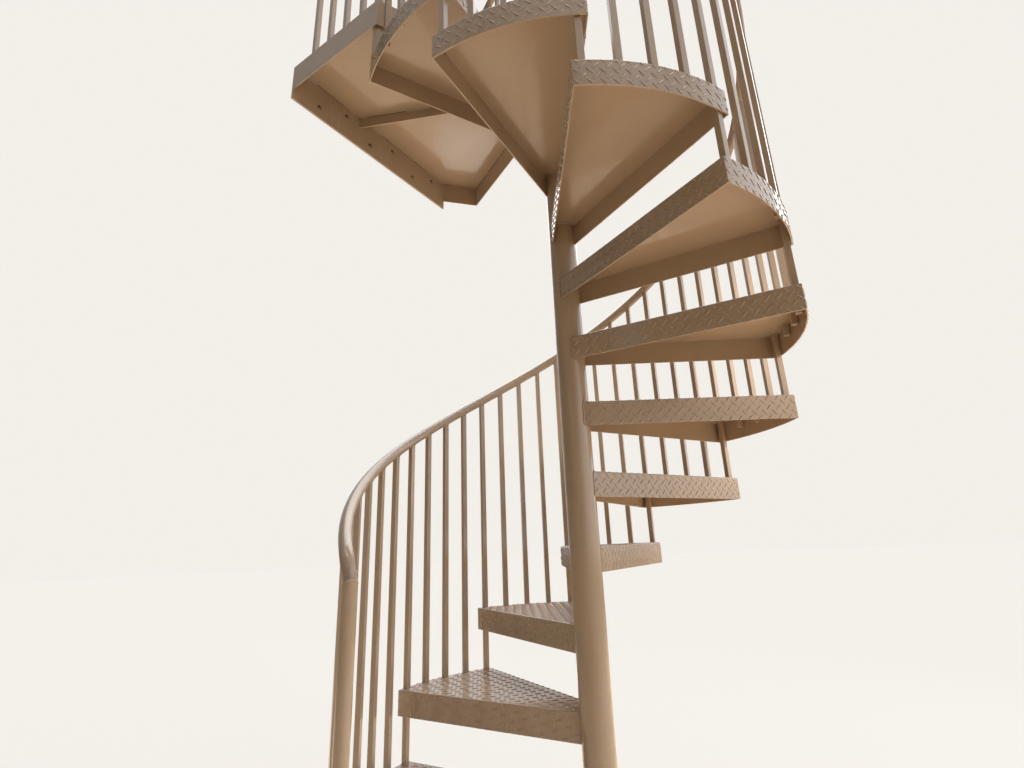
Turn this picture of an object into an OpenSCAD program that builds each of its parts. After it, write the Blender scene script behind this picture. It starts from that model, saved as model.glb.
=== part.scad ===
// Spiral stair: twelve pan treads round a pipe column, climbing clockwise to a landing
// that is bolted to a wall. Millimetres, +Z up, floor at Z = 0, column axis on the Z axis,
// wall face parallel to the XZ plane.

/* [Stair] */
// height from one tread top to the next
rise = 237; // [205:1:241]
// outside radius of the treads
stair_r = 762; // [700:1:840]
// direction of the first tread's front radius
first_az = 153; // [148:0.5:158]

/* [Plates] */
// thickness of the tread plates
plate_t = 4; // [3:0.5:6]
// depth of a tread, top face to lower edge of its flanges
flange_h = 84; // [70:1:110]
// distance of the nosing face in front of the tread's front radius
nose_off = 28; // [26:0.5:36]
// distance of the rear face behind the column axis
rear_off = 44.7; // [40:0.1:46]

/* [Column] */
// outside diameter of the column pipe
column_d = 101.6; // [95:0.1:114.3]
// wall of the column pipe
column_wall = 6; // [4:0.5:10]
// side of the square base flange
base_side = 254; // [230:1:320]
// thickness of the base flange
base_t = 12; // [8:1:20]
// distance between the anchor holes of the base flange
base_pitch = 190; // [170:1:200]
// diameter of the anchor holes
anchor_d = 18; // [14:1:20]

/* [Railing] */
// side of the square balusters
bar = 19; // [16:0.5:22]
// gap between a baluster and the inside of the treads' outer flange
bar_gap = 3; // [0.5:0.5:6]
// outside diameter of the handrail, newel and guard tubes
rail_d = 38.1; // [34:0.1:42.4]
// wall of the handrail, newel and guard tubes
rail_wall = 3; // [2:0.5:4]
// height of the handrail's centre line over a tread, at the tread's front radius
rail_h = 915; // [850:5:960]
// length of the handrail's straight end at the newel, seen from above
rail_tail = 135; // [115:5:165]
// length of a short baluster below the tread's top face
stub = 46; // [35:1:60]
// height of the landing's guard over the deck
guard_h = 1067; // [1000:1:1100]

/* [Landing] */
// distance of the wall face from the column axis
wall_y = 806; // [790:1:830]
// thickness of the deck plate
deck_t = 5; // [4:0.5:8]
// depth of the deck's edge plates, from the deck's top face
skirt_h = 112; // [100:1:130]
// thickness of the wall plate
ledger_t = 8; // [6:1:12]
// depth of the wall plate below the deck plate
ledger_h = 152; // [140:1:170]
// X of the wall plate's end at the chamfered corner
ledger_x = 212; // [190:1:230]
// distance between neighbouring wall bolts, along the wall
ledger_pitch = 136; // [120:1:140]
// diameter of the wall bolt holes
ledger_hole_d = 14; // [11:1:18]
// width of the rib under the deck
rib_h = 50; // [40:1:70]
// thickness of the rib under the deck
rib_t = 6; // [4:0.5:10]
// angle from the deck's front edge to the rib
rib_turn = 39; // [30:1:60]

/* [Hidden] */
step = 30;
treads = 12;
per_tread = 4;
rear_skew = 1.23;
tail_turn = 6;
seat = 0.2;
column_r = column_d / 2;
rail_r = rail_d / 2;
bar_r = stair_r - plate_t - bar / 2 - bar_gap;
step_arc = PI * bar_r * step / 180;
slope = atan(rise / step_arc);
deck_z = rise * (treads + 1);
guard_z = deck_z + guard_h - rail_r;
column_top = deck_z + guard_h + 15;
cap_t = 8;
foot_side = 100;
foot_t = 8;
foot_pitch = 70;
foot_hole_d = 11;
flange_d = 86;
flange_t = 6;
flange_pitch = 62;
flange_hole_d = 9;
tail_az = first_az - tail_turn;
newel_z = rise + rail_h + rise * tail_turn / step - rail_tail * tan(slope);
rear_az = rear_skew - step;
paint = [0.66, 0.54, 0.45];

// landing outline
far_az = first_az - 90;
ledger_y = wall_y - ledger_t;
nose_n = [-sin(first_az), cos(first_az)];
nose_d = [cos(first_az), sin(first_az)];
far_d = [cos(far_az), sin(far_az)];
far_n = [-sin(far_az), cos(far_az)];
nose_s = sqrt(stair_r * stair_r - nose_off * nose_off);
front_corner = nose_s * nose_d + nose_off * nose_n;
far_corner = stair_r * far_d;
wall_corner = [ledger_x, ledger_y];
cham_d = (wall_corner - far_corner) / norm(wall_corner - far_corner);
cham_n = [-cham_d[1], cham_d[0]];
side_x = front_corner[0];

// guard lines, set in from the deck's edges
inset = plate_t + bar / 2 + 11;
post_xy = bar_r * nose_d;
guard_far = meet(inset * far_n, far_d, far_corner + inset * cham_n, cham_d);
mitre_az = (far_az + atan2(cham_d[1], cham_d[0])) / 2;
guard_wall = meet(far_corner + inset * cham_n, cham_d, [0, wall_y - flange_t], [1, 0]);

// crossing of the line through p along d with the line through q along e
function meet(p, d, q, e) =
    let (den = d[0] * e[1] - d[1] * e[0], w = q - p)
    p + d * ((w[0] * e[1] - w[1] * e[0]) / den);

// front radius of tread n, counted from 1
function tread_az(n) = first_az - (n - 1) * step;

// height of the rail's centre line, a degrees up the climb from the first front radius
function rail_z(a) = rise + rail_h + rise * a / step;

module tube(r, wall, length) {
    difference() {
        cylinder(r = r, h = length, $fn = 96);
        translate([0, 0, -1])
            cylinder(r = r - wall, h = length + 2, $fn = 96);
    }
}

// wedge between the nosing line and the rear line, both moved in by t, out to radius r
module wedge(t, r, height) {
    n = [-sin(rear_az), cos(rear_az)];
    d = [cos(rear_az), sin(rear_az)];
    back = -(rear_off - t) * n;
    intersection() {
        linear_extrude(height = height)
            polygon([
                [0, nose_off - t],
                [2 * stair_r, nose_off - t],
                back + 2 * stair_r * d,
                back
            ]);
        cylinder(r = r, h = height, $fn = 360);
    }
}

// pan tread: top plate with flanges bent down at the nosing, the outer arc and the rear
module pan() {
    difference() {
        translate([0, 0, -flange_h])
            wedge(0, stair_r, flange_h);
        translate([0, 0, -flange_h - 1])
            wedge(plate_t, stair_r - plate_t, flange_h - plate_t + 1);
        translate([0, 0, -flange_h - 1])
            cylinder(r = column_r, h = flange_h + 2, $fn = 180);
    }
}

module tread(n) {
    color(paint)
        translate([0, 0, rise * n])
            rotate([0, 0, tread_az(n)])
                difference() {
                    pan();
                    for (i = [0 : per_tread - 1])
                        rotate([0, 0, -i * step / per_tread])
                            translate([bar_r - bar / 2, -bar / 2, -plate_t - 1])
                                cube([bar, bar, plate_t + 2]);
                }
}

// one bar from the height low to the rail, its top cut to sit round the rail's underside
module baluster(low, centre, tilt, out = 0, turn = 0) {
    difference() {
        translate([-bar / 2, -bar / 2, low])
            cube([bar, bar, centre - 6 - low]);
        translate([out, 0, centre])
            rotate([0, 0, turn])
                rotate([90 - tilt, 0, 0])
                    translate([0, 0, -60])
                        cylinder(r = rail_r - seat, h = 120, $fn = 96);
    }
}

// the bars of tread n: a long one at the nosing, down to the tread below, and short ones
// let into the pan; the first tread has short ones only, the first of them under the
// handrail's straight end
module balusters(n) {
    color(paint)
        translate([0, 0, rise * n])
            rotate([0, 0, tread_az(n)])
                for (i = [0 : per_tread - 1])
                    rotate([0, 0, -i * step / per_tread])
                        translate([bar_r, 0, 0])
                            baluster(
                                i == 0 && n > 1 ? -rise : -stub,
                                rail_h + rise * i / per_tread,
                                slope,
                                i == 0 && n == 1 ? bar_r / cos(tail_turn) - bar_r : 0,
                                i == 0 && n == 1 ? -tail_turn : 0
                            );
}

module base_flange() {
    color(paint)
        difference() {
            translate([-base_side / 2, -base_side / 2, 0])
                cube([base_side, base_side, base_t]);
            for (x = [-1, 1], y = [-1, 1])
                translate([x * base_pitch / 2, y * base_pitch / 2, -1])
                    cylinder(d = anchor_d, h = base_t + 2, $fn = 48);
        }
}

module column() {
    color(paint)
        translate([0, 0, base_t])
            tube(column_r, column_wall, column_top - base_t);
}

module column_cap() {
    color(paint)
        translate([0, 0, column_top])
            cylinder(r = column_r + 3, h = cap_t, $fn = 96);
}

module newel_foot() {
    color(paint)
        rotate([0, 0, tail_az])
            translate([bar_r, rail_tail, 0])
                difference() {
                    translate([-foot_side / 2, -foot_side / 2, 0])
                        cube([foot_side, foot_side, foot_t]);
                    for (x = [-1, 1], y = [-1, 1])
                        translate([x * foot_pitch / 2, y * foot_pitch / 2, -1])
                            cylinder(d = foot_hole_d, h = foot_t + 2, $fn = 36);
                }
}

// starting post, its top mitred to the handrail
module newel_post() {
    color(paint)
        rotate([0, 0, tail_az])
            translate([bar_r, rail_tail, 0])
                difference() {
                    translate([0, 0, foot_t])
                        tube(rail_r, rail_wall, newel_z + 60 - foot_t);
                    translate([0, 0, newel_z])
                        rotate([(90 - slope) / 2, 0, 0])
                            translate([-100, -100, 0])
                                cube([200, 200, 200]);
                }
}

// handrail: a tube with a straight end mitred to the newel, then swept up the helix to
// the landing post, its head shaped to the post; a counts up the climb from the first
// tread's front
rail_sides = 20;
rail_gap = step / per_tread / 2;
rail_steps = step * treads / rail_gap;

function rail_at(a) =
    let (az = first_az - a)
    [bar_r * cos(az), bar_r * sin(az), rise + rail_h + rise * a / step];
function rail_dir(a) =
    let (az = first_az - a)
    [sin(az) * cos(slope), -cos(az) * cos(slope), sin(slope)];
function rail_out(a) = let (az = first_az - a) [cos(az), sin(az), 0];
newel_top = rail_at(tail_turn) - rail_tail / cos(slope) * rail_dir(tail_turn);

// ring point j at a, on radius r
function rail_ring(a, r, j) =
    let (q = 360 * (j + 0.5) / rail_sides)
    rail_at(a) + r * cos(q) * rail_out(a) + r * sin(q) * cross(rail_dir(a), rail_out(a));

// foot: the ring is slid down the straight end to the mitre plane
function foot_point(p) =
    let (d = rail_dir(tail_turn), m = d + [0, 0, 1], w = newel_top - p)
    p + d * ((w * m) / (d * m));

// head: the ring is slid along the rail to the face of the landing post
function head_point(p) =
    let (
        d = rail_dir(step * treads),
        e = [p[0] - post_xy[0], p[1] - post_xy[1]],
        f = [d[0], d[1]],
        qa = f * f,
        qb = 2 * (e * f),
        qc = e * e - rail_r * rail_r,
        disc = max(0, qb * qb - 4 * qa * qc)
    )
    p + d * ((-qb - sqrt(disc)) / (2 * qa));

// rings: two for the straight end, then one over each bar and one between
function rail_point(i, r, j) =
    i == 0 ? foot_point(rail_ring(tail_turn, r, j))
    : i == 1 ? rail_ring(tail_turn, r, j)
    : i == rail_steps ? head_point(rail_ring(step * treads, r, j))
    : rail_ring(i * rail_gap, r, j);

module handrail() {
    k = rail_sides;
    last = rail_steps * k;
    inner = (rail_steps + 1) * k;
    points = concat(
        [for (i = [0 : rail_steps], j = [0 : k - 1]) rail_point(i, rail_r, j)],
        [for (i = [0 : rail_steps], j = [0 : k - 1]) rail_point(i, rail_r - rail_wall, j)]
    );
    faces = concat(
        [for (i = [0 : rail_steps - 1], j = [0 : k - 1])
            [i * k + j, (i + 1) * k + (j + 1) % k, i * k + (j + 1) % k]],
        [for (i = [0 : rail_steps - 1], j = [0 : k - 1])
            [i * k + j, (i + 1) * k + j, (i + 1) * k + (j + 1) % k]],
        [for (i = [0 : rail_steps - 1], j = [0 : k - 1])
            [inner + i * k + j, inner + i * k + (j + 1) % k, inner + (i + 1) * k + (j + 1) % k]],
        [for (i = [0 : rail_steps - 1], j = [0 : k - 1])
            [inner + i * k + j, inner + (i + 1) * k + (j + 1) % k, inner + (i + 1) * k + j]],
        [for (j = [0 : k - 1]) [j, (j + 1) % k, inner + (j + 1) % k]],
        [for (j = [0 : k - 1]) [j, inner + (j + 1) % k, inner + j]],
        [for (j = [0 : k - 1])
            [last + (j + 1) % k, last + j, inner + last + (j + 1) % k]],
        [for (j = [0 : k - 1])
            [last + j, inner + last + j, inner + last + (j + 1) % k]]
    );
    color(paint)
        polyhedron(points = points, faces = faces, convexity = 6);
}

// deck outline moved in by t, out to the line Y = y
module landing_outline(t, y, height) {
    n = nose_n * (nose_off - t);
    cham = far_corner + t * cham_n;
    linear_extrude(height = height)
        polygon([
            [0, 0] + t * far_n - 20 * far_d,
            meet(t * far_n, far_d, cham, cham_d),
            t == 0 ? wall_corner : meet(cham, cham_d, [0, y], [1, 0]),
            [t == 0 ? ledger_x : meet(cham, cham_d, [0, y], [1, 0])[0] - 0.01, y],
            [side_x + t, y],
            meet(n, nose_d, [side_x + t, 0], [0, 1]),
            n - 20 * nose_d
        ]);
}

module landing_deck() {
    color(paint)
        translate([0, 0, deck_z - deck_t])
            difference() {
                landing_outline(0, wall_y, deck_t);
                translate([0, 0, -1])
                    cylinder(r = column_r, h = deck_t + 2, $fn = 180);
                translate([post_xy[0], post_xy[1], -1])
                    cylinder(r = rail_r, h = deck_t + 2, $fn = 96);
            }
}

// edge plates under the deck: nosing, side, chamfer and far edge
module landing_skirt() {
    color(paint)
        translate([0, 0, deck_z - skirt_h])
            difference() {
                intersection() {
                    landing_outline(0, wall_y, skirt_h - deck_t);
                    translate([-2 * stair_r, -stair_r, 0])
                        cube([4 * stair_r, stair_r + ledger_y, skirt_h]);
                }
                translate([0, 0, -1])
                    landing_outline(plate_t, wall_y, skirt_h + 2);
                translate([0, 0, -1])
                    cylinder(r = column_r, h = skirt_h + 2, $fn = 180);
            }
}

module landing_rib() {
    rib_az = first_az - rib_turn;
    color(paint)
        translate([0, 0, deck_z - deck_t - rib_h])
            difference() {
                rotate([0, 0, rib_az])
                    translate([0, -rib_t / 2, 0])
                        cube([2 * stair_r, rib_t, rib_h]);
                translate([-2 * stair_r, ledger_y, -1])
                    cube([4 * stair_r, 4 * stair_r, rib_h + 2]);
                translate([0, 0, -1])
                    cylinder(r = column_r, h = rib_h + 2, $fn = 180);
            }
}

// wall plate with two rows of staggered bolt holes
module ledger_plate() {
    color(paint)
        difference() {
            translate([side_x, ledger_y, deck_z - deck_t - ledger_h])
                cube([ledger_x - side_x, ledger_t, ledger_h]);
            for (i = [0 : 5])
                translate([
                    ledger_x - 99 - i * ledger_pitch,
                    ledger_y - 1,
                    deck_z - (i % 2 == 0 ? 48 : 107)
                ])
                    rotate([-90, 0, 0])
                        cylinder(d = ledger_hole_d, h = ledger_t + 2, $fn = 48);
        }
}

// post at the landing's front corner, from the last tread up to the guard rail, its top
// mitred to the rail
module landing_post() {
    color(paint)
        translate([post_xy[0], post_xy[1], 0])
            difference() {
                translate([0, 0, deck_z - rise])
                    tube(rail_r, rail_wall, guard_h + rise + 40);
                translate([0, 0, guard_z])
                    rotate([45, 0, 0])
                        translate([-100, -100, 0])
                            cube([200, 200, 200]);
            }
}

// level tube from p to q at the guard's height, longer by extra at both ends
module run(p, q, extra) {
    translate([p[0], p[1], guard_z])
        rotate([0, 90, atan2(q[1] - p[1], q[0] - p[0])])
            translate([0, 0, -extra])
                tube(rail_r, rail_wall, norm(q - p) + 2 * extra);
}

module guard_rail_side() {
    color(paint)
        difference() {
            run(post_xy, [post_xy[0], wall_y - flange_t], 40);
            translate([post_xy[0], post_xy[1], guard_z])
                rotate([45, 0, 0])
                    translate([-100, -200, -100])
                        cube([200, 200, 200]);
            translate([-2 * stair_r, wall_y - flange_t, guard_z - 100])
                cube([4 * stair_r, 200, 200]);
        }
}

// tube along the deck's far edge, shaped to the column and mitred at the far corner
module guard_rail_far() {
    color(paint)
        difference() {
            run(inset * far_n, guard_far, 60);
            translate([guard_far[0], guard_far[1], guard_z])
                rotate([0, 0, mitre_az])
                    translate([0, -150, -100])
                        cube([300, 300, 200]);
            translate([0, 0, guard_z - 100])
                rotate([0, 0, far_az])
                    translate([-200, -100, 0])
                        cube([200, 200, 200]);
            translate([0, 0, guard_z - 100])
                cylinder(r = column_r, h = 200, $fn = 180);
        }
}

// short tube over the chamfer, from the far corner's mitre to its wall flange
module guard_rail_chamfer() {
    color(paint)
        difference() {
            run(guard_far, guard_wall, 60);
            translate([guard_far[0], guard_far[1], guard_z])
                rotate([0, 0, mitre_az])
                    translate([-300, -150, -100])
                        cube([300, 300, 200]);
            translate([-stair_r, wall_y - flange_t, guard_z - 100])
                cube([2 * stair_r, 200, 200]);
        }
}

// round flanges that carry the guard rails on the wall
module wall_flanges() {
    color(paint)
        for (x = [post_xy[0], guard_wall[0]])
            translate([x, wall_y, guard_z])
                rotate([90, 0, 0])
                    difference() {
                        cylinder(d = flange_d, h = flange_t, $fn = 72);
                        for (z = [-1, 1])
                            translate([0, z * flange_pitch / 2, -1])
                                cylinder(d = flange_hole_d, h = flange_t + 2, $fn = 36);
                    }
}

// bars between p and q, evenly spaced, count of them, along the line p to q
module guard_bars(p, q, count) {
    for (i = [1 : count])
        translate(concat(p + (q - p) * i / (count + 1), [deck_z]))
            rotate([0, 0, atan2(q[1] - p[1], q[0] - p[0]) + 90])
                baluster(0, guard_z - deck_z, 0);
}

module guard_balusters_side() {
    color(paint)
        guard_bars(post_xy, [post_xy[0], wall_y], 4);
}

module guard_balusters_far() {
    color(paint) {
        guard_bars(inset * far_n + 25 * far_d, guard_far + 55 * far_d, 7);
        guard_bars(guard_far, guard_wall, 1);
    }
}

base_flange();
column();
column_cap();
tread(1);  // tread_01
tread(2);  // tread_02
tread(3);  // tread_03
tread(4);  // tread_04
tread(5);  // tread_05
tread(6);  // tread_06
tread(7);  // tread_07
tread(8);  // tread_08
tread(9);  // tread_09
tread(10);  // tread_10
tread(11);  // tread_11
tread(12);  // tread_12
balusters(1);  // balusters_01
balusters(2);  // balusters_02
balusters(3);  // balusters_03
balusters(4);  // balusters_04
balusters(5);  // balusters_05
balusters(6);  // balusters_06
balusters(7);  // balusters_07
balusters(8);  // balusters_08
balusters(9);  // balusters_09
balusters(10);  // balusters_10
balusters(11);  // balusters_11
balusters(12);  // balusters_12
newel_foot();
newel_post();
handrail();
landing_deck();
landing_skirt();
landing_rib();
ledger_plate();
landing_post();
guard_rail_side();
guard_rail_far();
guard_rail_chamfer();
wall_flanges();
guard_balusters_side();
guard_balusters_far();
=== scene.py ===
import math
import random

import bmesh
import bpy
from mathutils import Matrix, Vector
from mathutils.geometry import delaunay_2d_cdt


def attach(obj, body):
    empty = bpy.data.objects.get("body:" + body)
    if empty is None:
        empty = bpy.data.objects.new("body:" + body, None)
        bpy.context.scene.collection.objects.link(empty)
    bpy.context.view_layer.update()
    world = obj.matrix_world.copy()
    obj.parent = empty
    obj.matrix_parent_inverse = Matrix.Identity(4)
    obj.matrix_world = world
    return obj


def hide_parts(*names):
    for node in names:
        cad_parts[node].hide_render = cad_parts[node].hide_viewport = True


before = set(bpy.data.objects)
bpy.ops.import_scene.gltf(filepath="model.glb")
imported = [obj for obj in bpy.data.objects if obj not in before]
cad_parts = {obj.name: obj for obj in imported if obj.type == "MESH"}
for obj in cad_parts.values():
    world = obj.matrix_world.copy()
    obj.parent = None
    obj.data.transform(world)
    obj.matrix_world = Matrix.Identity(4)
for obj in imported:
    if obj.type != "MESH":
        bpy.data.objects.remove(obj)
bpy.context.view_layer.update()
scene = bpy.context.scene
scene.view_settings.view_transform = "Standard"

# ---- Camera ---------------------------------------------------------------------------
# Held at chest height beside the stair's foot, with a wide lens tilted up, so that the
# lowest treads and the landing's underside are both in the frame.
view_from = Vector((-1.6267, -0.8211, 1.1870))
view_yaw = 57.095  # degrees from +Y towards +X
view_pitch = 17.286
view_lean = -2.281
camera = bpy.data.objects.new("camera", bpy.data.cameras.new("camera"))
camera.data.sensor_width = 36.0
camera.data.lens = 18.67
camera.data.shift_x = -0.0061
camera.data.shift_y = -0.0018
camera.data.clip_start = 0.05
camera.data.clip_end = 200.0
camera.matrix_world = (
    Matrix.Translation(view_from)
    @ Matrix.Rotation(math.radians(-view_yaw), 4, "Z")
    @ Matrix.Rotation(math.radians(90 + view_pitch), 4, "X")
    @ Matrix.Rotation(math.radians(view_lean), 4, "Z")
)
scene.collection.objects.link(camera)
scene.camera = camera

# ---- Column ---------------------------------------------------------------------------
# A 4 in steel pipe the full height of the stair on a square flange with four anchor bolts,
# closed by a flat cap. Sprayed with gloss enamel, which hangs in long soft sags.
column_r = 0.0508
base_t = 0.012
anchor_at = 0.095
lug_pitch = 0.0343  # of the tread plate's pattern, needed by the enamel


def linear(code):
    """The linear colour of an sRGB hex value."""
    parts = [int(code[i:i + 2], 16) / 255 for i in (1, 3, 5)]
    return [p / 12.92 if p <= 0.04045 else ((p + 0.055) / 1.055) ** 2.4 for p in parts] + [1.0]


def add(tree, kind, links=None, sockets=None, **settings):
    """Adds a node with its settings, socket values and links."""
    made = tree.nodes.new("ShaderNode" + kind)
    for name, value in settings.items():
        setattr(made, name, value)
    for name, value in (sockets or {}).items():
        made.inputs[name].default_value = value
    for name, source in (links or {}).items():
        tree.links.new(source, made.inputs[name])
    return made


def new_material(name):
    """A new material, its node tree and its surface shader."""
    made = bpy.data.materials.new(name)
    made.use_nodes = True
    return made, made.node_tree, made.node_tree.nodes["Principled BSDF"]


def enamel(name, gloss, sag=(1.0, 1.0, 1.0), film="#AE957C", thin="#A78D73",
           peel_mm=0.012, lattice_mm=0.0, crest=False):
    """Gloss enamel sprayed on steel, of a roughness gloss: a smooth tan film that clouds from
    film to thin, with orange peel 4 mm across, slow sags stretched by sag, and a painted
    highlight on the arrises, a lighter film there that stands in for the light they catch.
    lattice_mm is how deep the raised pattern of the far side shows through a rolled plate;
    with crest, the film is darker round the foot of each lug."""
    made, tree, paint = new_material(name)
    paint.inputs["IOR"].default_value = 1.5
    place = add(tree, "TexCoord").outputs["Object"]
    drawn = add(tree, "Mapping", {"Vector": place}, {"Scale": sag}).outputs[0]
    cloud = add(tree, "TexNoise", {"Vector": drawn}, {"Scale": 9.0, "Detail": 4.0})
    speck = add(tree, "TexNoise", {"Vector": place}, {"Scale": 260.0, "Detail": 2.0})
    grime = add(tree, "TexNoise", {"Vector": place}, {"Scale": 2.6, "Detail": 6.0})

    # colour: the film clouds a little, and dust dulls it in patches
    tone = add(tree, "Mix", {0: cloud.outputs[0]}, {6: linear(film), 7: linear(thin)},
               data_type="RGBA")
    dust = add(tree, "MapRange", {0: grime.outputs[0]}, {1: 0.52, 2: 0.78, 3: 0.0, 4: 0.16})
    dusty = add(tree, "Mix", {0: dust.outputs[0], 6: tone.outputs[2]},
                {7: linear("#8C7B6A")}, data_type="RGBA")

    # arrises: painted highlight, a lighter film standing in for the light the rounded edges catch;
    # the film also draws a little thin there
    geometry = add(tree, "NewGeometry")
    rounded = add(tree, "Bevel", sockets={"Radius": 0.0018}, samples=4)
    bend = add(tree, "VectorMath", {0: rounded.outputs[0], 1: geometry.outputs["Normal"]},
               operation="DOT_PRODUCT")
    arris = add(tree, "MapRange", {0: bend.outputs["Value"]},
                {1: 0.995, 2: 0.86, 3: 0.0, 4: 0.55})
    edge_highlighted = add(tree, "Mix", {0: arris.outputs[0], 6: dusty.outputs[2]},
                {7: linear("#E2CCBA")}, data_type="RGBA")
    last = edge_highlighted
    if crest:
        # the film darkens round the foot of every lug, fading out half way up it
        height = add(tree, "Attribute", attribute_name="crest")
        foot = add(tree, "MapRange", {0: height.outputs["Fac"]},
                   {1: 0.0, 2: 0.5, 3: 0.35, 4: 0.0})
        last = add(tree, "Mix", {0: foot.outputs[0], 6: edge_highlighted.outputs[2]},
                   {7: linear("#7A6350")}, data_type="RGBA")
    tree.links.new(last.outputs[2], paint.inputs["Base Color"])

    # gloss: duller where dust lies
    dull = add(tree, "MapRange", {0: grime.outputs[0]},
               {1: 0.35, 2: 0.75, 3: gloss, 4: gloss + 0.12})
    tree.links.new(dull.outputs[0], paint.inputs["Roughness"])

    # relief in metres: orange peel, sags, and the pattern showing through
    peel = add(tree, "Math", {0: speck.outputs[0]}, {1: peel_mm / 1000}, operation="MULTIPLY")
    relief = add(tree, "Math", {0: cloud.outputs[0], 2: peel.outputs[0]}, {1: 0.0005},
                 operation="MULTIPLY_ADD")
    if lattice_mm:
        # lugs sit every lug_pitch each way, and once more in between
        flat = add(tree, "UVMap", uv_map="plate")
        turns = add(tree, "VectorMath", {0: flat.outputs[0]}, {1: [2 * math.pi / lug_pitch] * 3},
                    operation="MULTIPLY")
        across = add(tree, "SeparateXYZ", {0: turns.outputs[0]})
        wave_u = add(tree, "Math", {0: across.outputs[0]}, operation="COSINE")
        wave_v = add(tree, "Math", {0: across.outputs[1]}, operation="COSINE")
        dimple = add(tree, "Math", {0: wave_u.outputs[0], 1: wave_v.outputs[0]},
                     operation="MULTIPLY")
        relief = add(tree, "Math", {0: dimple.outputs[0], 2: relief.outputs[0]},
                     {1: lattice_mm / 1000}, operation="MULTIPLY_ADD")
    bump = add(tree, "Bump", {"Height": relief.outputs[0]}, {"Strength": 1.0, "Distance": 1.0})
    tree.links.new(bump.outputs[0], paint.inputs["Normal"])
    return made


# on the pipe the sags run down, so that its streaks of light waver
pipe_enamel = enamel("gloss_enamel_on_pipe", 0.10, (5.0, 5.0, 0.5))


def arrises(node, finish, width, segments=2):
    """Keeps a CAD node, gives it its finish, and rounds its sharp edges to width."""
    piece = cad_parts[node]
    shape = piece.data
    if "custom_normal" in shape.attributes:
        shape.attributes.remove(shape.attributes["custom_normal"])
    shape.shade_smooth()
    shape.materials.clear()
    shape.materials.append(finish)
    piece.modifiers.new("join", "WELD").merge_threshold = 0.00001
    flats = piece.modifiers.new("flats", "DECIMATE")
    flats.decimate_type = "DISSOLVE"
    flats.angle_limit = math.radians(0.5)
    edge = piece.modifiers.new("edge", "BEVEL")
    edge.width = width
    edge.segments = segments
    edge.limit_method = "ANGLE"
    edge.angle_limit = math.radians(35)
    piece.modifiers.new("shading", "WEIGHTED_NORMAL")
    return piece


def new_piece(name, shape, finishes):
    """Puts a finished bmesh in the scene as a piece that rides on the stair."""
    mesh = bpy.data.meshes.new(name)
    shape.normal_update()
    shape.to_mesh(mesh)
    shape.free()
    for finish in finishes:
        mesh.materials.append(finish)
    mesh.shade_smooth()
    piece = bpy.data.objects.new(name, mesh)
    scene.collection.objects.link(piece)
    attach(piece, "root")
    return piece


for name in ("base_flange", "column", "column_cap"):
    arrises(name, pipe_enamel, 0.0012)

# ---- Weld beads -----------------------------------------------------------------------
# Fillets of MIG weld, painted over with the rest. Each is laid in ripples 3 mm apart, and
# starts and stops in a small round crater.


def skin(shape, rings):
    """Joins each ring of points to the next with faces."""
    for ring, after in zip(rings, rings[1:]):
        for k in range(len(ring)):
            m = (k + 1) % len(ring)
            shape.faces.new((ring[k], ring[m], after[m], after[k]))


def bead(shape, path, radius, closed=False, ripple=0.003):
    """Lays a rippled bead along a path of points, metres."""
    sides = 6
    points = [Vector(p) for p in path]
    if closed:
        points.append(points[0])
    spacing = ripple / 2
    laid = []
    for a, b in zip(points, points[1:]):
        count = max(1, round((b - a).length / spacing))
        laid += [a.lerp(b, i / count) for i in range(count)]
    if not closed:
        laid.append(points[-1])
    total = len(laid)
    side = None
    rings = []
    for i, p in enumerate(laid):
        after = laid[(i + 1) % total] if closed or i + 1 < total else p
        before = laid[i - 1] if closed or i else p
        along = (after - before).normalized()
        if side is None:
            side = along.orthogonal().normalized()
        side = (side - along * side.dot(along)).normalized()
        other = along.cross(side)
        size = radius * (1.0 + (0.14 if i % 2 else -0.08) + 0.06 * math.sin(i * 1.7))
        if not closed:
            size *= min(1.0, 0.55 + 0.3 * min(i, total - 1 - i))
        rings.append([
            shape.verts.new(p + size * (math.cos(q) * side + math.sin(q) * other))
            for q in (2 * math.pi * k / sides for k in range(sides))
        ])
    if closed:
        # the last ring meets the first at whichever turn lies nearest
        first = rings[0]
        turn = min(range(sides), key=lambda k: (rings[-1][0].co - first[k].co).length)
        skin(shape, rings + [first[turn:] + first[:turn]])
    else:
        skin(shape, rings)
        shape.faces.new(rings[0][::-1])
        shape.faces.new(rings[-1])


# on a weld the film is duller, with a coarser peel
weld_enamel = enamel("gloss_enamel_on_weld", 0.2, film="#AC947C", thin="#A28971", peel_mm=0.03)

welds = bmesh.new()
circle = [Vector((math.cos(a), math.sin(a), 0)) for a in map(math.radians, range(0, 360, 6))]
bead(welds, [column_r * p + Vector((0, 0, base_t)) for p in circle], 0.0042, closed=True)
new_piece("column_foot_weld", welds, [weld_enamel])

# ---- Treads ---------------------------------------------------------------------------
# Pans of 4 mm tread plate: the plate is folded down at the nosing and the rear, a strip of
# it is rolled and welded round the outer arc, and the pan is welded to the column. The
# raised lugs are outside and on top; the inside is smooth, with the lugs faintly showing.
rise = 0.237
stair_r = 0.762
plate_t = 0.004
flange_h = 0.084
nose_off = 0.028
rear_off = 0.0447
first_az = 153.0
step = 30.0
rear_az = math.radians(1.23 - step)
rear_d = Vector((math.cos(rear_az), math.sin(rear_az)))
rear_n = Vector((-math.sin(rear_az), math.cos(rear_az)))
bar_r = 0.7455
bar = 0.019
lug_half = 0.0143
lug_high = 0.0019
lug_sunk = 0.0004  # how deep a lug's foot stands in the plate, so that no gap shows
fold_loss = 0.0065  # what a fold takes from the length of the flat plate

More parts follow.
